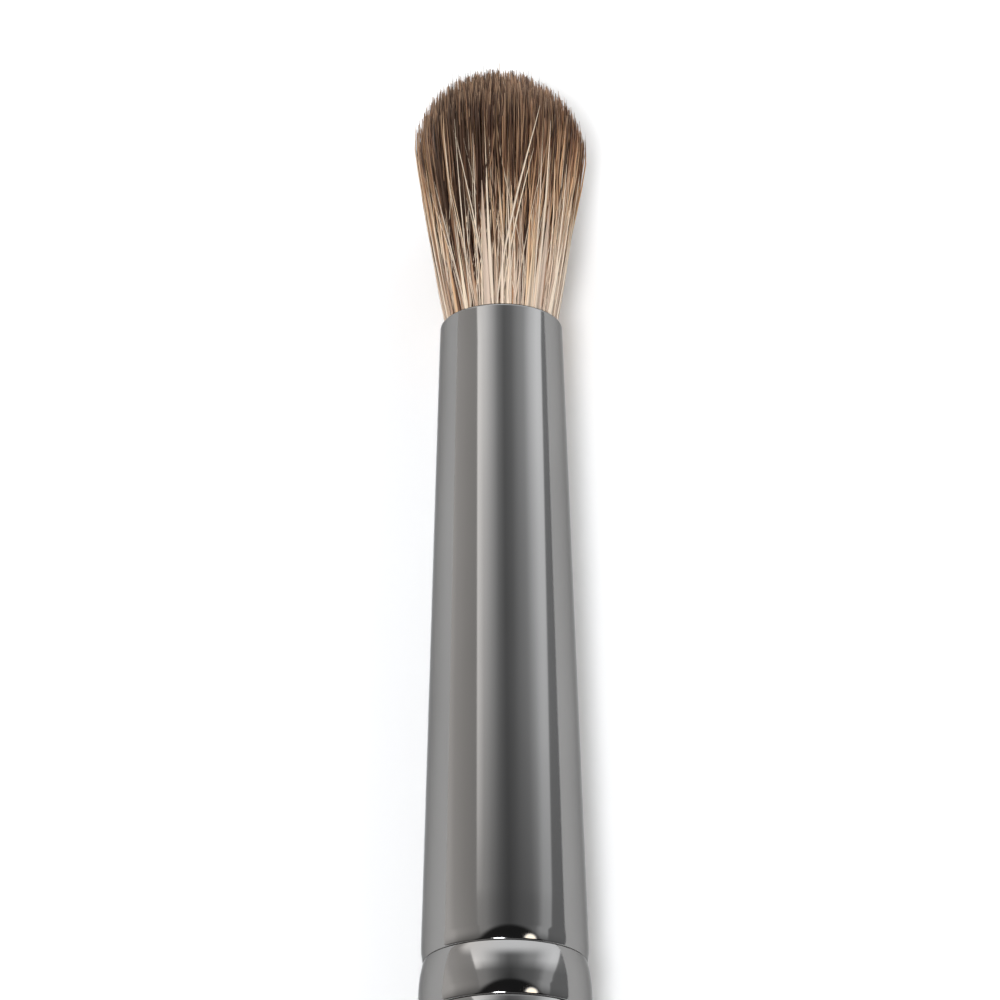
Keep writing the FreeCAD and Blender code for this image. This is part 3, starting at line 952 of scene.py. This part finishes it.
# %% Backdrop, dark side and lamps
STUDIO_LEVEL = 0.65
BACKDROP = 3.0 / STUDIO_PEAK
TIP_WALL = 0.8 / STUDIO_PEAK
TAIL_WALL = 0.4 / STUDIO_PEAK
DARK = 0.05 / STUDIO_PEAK
BACKDROP_LEFT = (-62, -46)
BACKDROP_RIGHT = (92, 76)
CAMERA_SIDE = (0.1, -0.54, 0.84)
CAMERA_SIDE_EDGE = (42, 50)
KEY = (-0.13, -0.45, 0.88)
KEY_EDGE = (4, 8)
KEY_LEVEL = 68.0 / STUDIO_PEAK
WARM_LAMP = (0.565, -0.15, 0.81)
WARM_EDGE = (3.5, 10.0)
WARM_LEVEL = 9.0 / STUDIO_PEAK
WARM_TINT = (1.0, 0.86, 0.66, 1)


def spot(direction, inner, outer):
    """1 within inner degrees of a direction, 0 beyond outer degrees."""
    unit = Vector(direction).normalized()
    compared = add_node(tree, "ShaderNodeVectorMath", {0: sky, 1: unit}, operation="DOT_PRODUCT")
    towards = compared.outputs["Value"]
    return gate(tree, towards, math.cos(math.radians(outer)), math.cos(math.radians(inner)))


left_end = gate(tree, lap, *(angle / STUDIO_LAP + 0.5 for angle in BACKDROP_LEFT))
right_end = gate(tree, lap, *(angle / STUDIO_LAP + 0.5 for angle in BACKDROP_RIGHT))
backdrop = calculate(tree, "MULTIPLY", left_end, right_end)
backdrop = calculate(tree, "MULTIPLY", backdrop, gate(tree, tipwards, 0.51, 0.64))
light = between(backdrop, light, BACKDROP)
light = between(gate(tree, tipwards, 0.8, 0.88), light, TIP_WALL)
light = between(gate(tree, tipwards, 0.15, -0.2), light, TAIL_WALL)
light = between(spot(CAMERA_SIDE, *CAMERA_SIDE_EDGE), light, DARK)
light = between(gate(tree, tipwards, -0.7, -0.88), light, TIP_WALL)
light = calculate(tree, "MULTIPLY_ADD", spot(KEY, *KEY_EDGE), KEY_LEVEL, light)
lamp = spot(WARM_LAMP, *WARM_EDGE)
light = calculate(tree, "MULTIPLY_ADD", lamp, WARM_LEVEL, light)
background = tree.nodes["Background"]
tree.links.new(calculate(tree, "MULTIPLY", light, STUDIO_LEVEL * STUDIO_PEAK), background.inputs["Strength"])
side_tint = add_ramp(tree, lap, [(0.32, (1.03, 0.995, 0.965, 1)), (0.5, (0.985, 1.0, 1.02, 1))])
tree.links.new(mix_colours(tree, lamp, side_tint, WARM_TINT), background.inputs["Color"])
print("studio with", len(tree.nodes), "nodes")

# %% [markdown]
# ## Floor and camera
#
# The floor is a plain white sheet, and it is stage, not part of the brush. To the camera and to a
# mirror its colour is lifted a little, so that it shows white while the light on the brush stays at
# a plain level. The camera looks down on the ferrule from the handle side with a long lens, so that
# the handle runs out of the picture at the bottom, and it is turned by a third of a degree.

# %% Floor
FLOOR_PLAIN = (0.9, 0.9, 0.9, 1)
FLOOR_SEEN = (1.117, 1.128, 1.14, 1)
bpy.ops.object.select_all(action="DESELECT")
bpy.ops.mesh.primitive_plane_add(size=6)
floor = bpy.context.object
floor.name = "floor"
white, tree, shader = new_finish("white_sheet")
shader.inputs["Roughness"].default_value = 0.9
shader.inputs["Specular IOR Level"].default_value = 0.1
ray = add_node(tree, "ShaderNodeLightPath").outputs
seen = calculate(tree, "MAXIMUM", ray["Is Camera Ray"], ray["Is Glossy Ray"])
seen = calculate(tree, "MAXIMUM", seen, ray["Is Transmission Ray"])
tree.links.new(mix_colours(tree, seen, FLOOR_PLAIN, FLOOR_SEEN), shader.inputs["Base Color"])
dress(floor, white)
print("floor is", floor.dimensions[0], "m wide")

# %% Camera
LENS = 151.85
AIM_BEHIND_MOUTH = 9.9 * MM
AIM_LEFT = 0.12 * MM
CAMERA_DISTANCE = 220.6 * MM
CAMERA_ANGLE = math.radians(66.8)
CAMERA_ROLL = math.radians(0.34)
aim = mouth - AIM_BEHIND_MOUTH * towards_tip - AIM_LEFT * rightward
back = upward * math.sin(CAMERA_ANGLE) - towards_tip * math.cos(CAMERA_ANGLE)
picture_up = towards_tip * math.sin(CAMERA_ANGLE) + upward * math.cos(CAMERA_ANGLE)
camera_right = rightward * math.cos(CAMERA_ROLL) - picture_up * math.sin(CAMERA_ROLL)
camera_up = rightward * math.sin(CAMERA_ROLL) + picture_up * math.cos(CAMERA_ROLL)
camera = bpy.data.objects.new("camera", bpy.data.cameras.new("camera"))
bpy.context.scene.collection.objects.link(camera)
camera.data.lens = LENS
camera.data.sensor_width = 36
camera.data.clip_start = 0.01
camera.data.clip_end = 100
camera.matrix_world = Matrix.Translation(aim + back * CAMERA_DISTANCE) @ Matrix(
    (camera_right, camera_up, back)
).transposed().to_4x4()
bpy.context.scene.camera = camera
bpy.context.scene.view_settings.view_transform = "Standard"
print("camera at", [round(x, 4) for x in camera.location])
